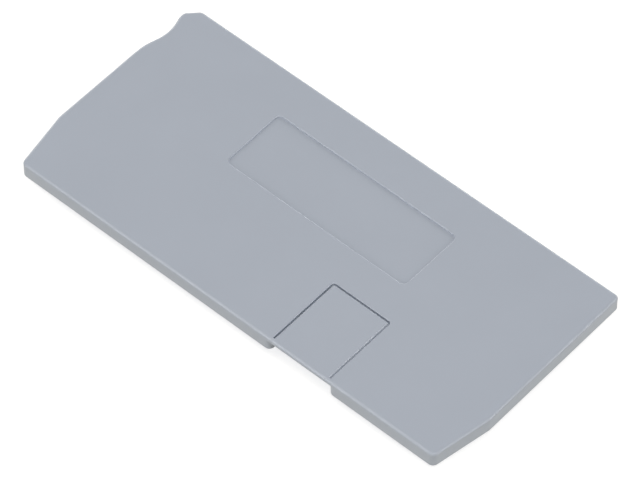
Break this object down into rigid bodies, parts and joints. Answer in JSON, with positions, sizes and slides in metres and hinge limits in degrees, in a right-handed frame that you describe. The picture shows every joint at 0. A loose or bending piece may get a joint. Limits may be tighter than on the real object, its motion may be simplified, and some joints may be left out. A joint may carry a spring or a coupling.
{
  "type": "terminal block end cover",
  "caption": "Flat moulded end cover for a row of rail-mounted terminal blocks, with a label recess, a scored break-out panel at its rail edge and locating pegs on its inner face.",
  "frame": {"origin": "under the middle of the plate, in the plane of the peg tips that it rests on", "axes": "+X along the cover's length towards its straight end, +Y from the rail edge to the rear edge, +Z out of the outer face"},
  "size_m": [0.0732, 0.0342, 0.0045],
  "materials": {
    "grey_polyamide": "fine matt moulded surface, cool mid grey"
  },
  "bodies": {
    "root": {"end_cover": "grey_polyamide"}
  },
  "joints": []
}
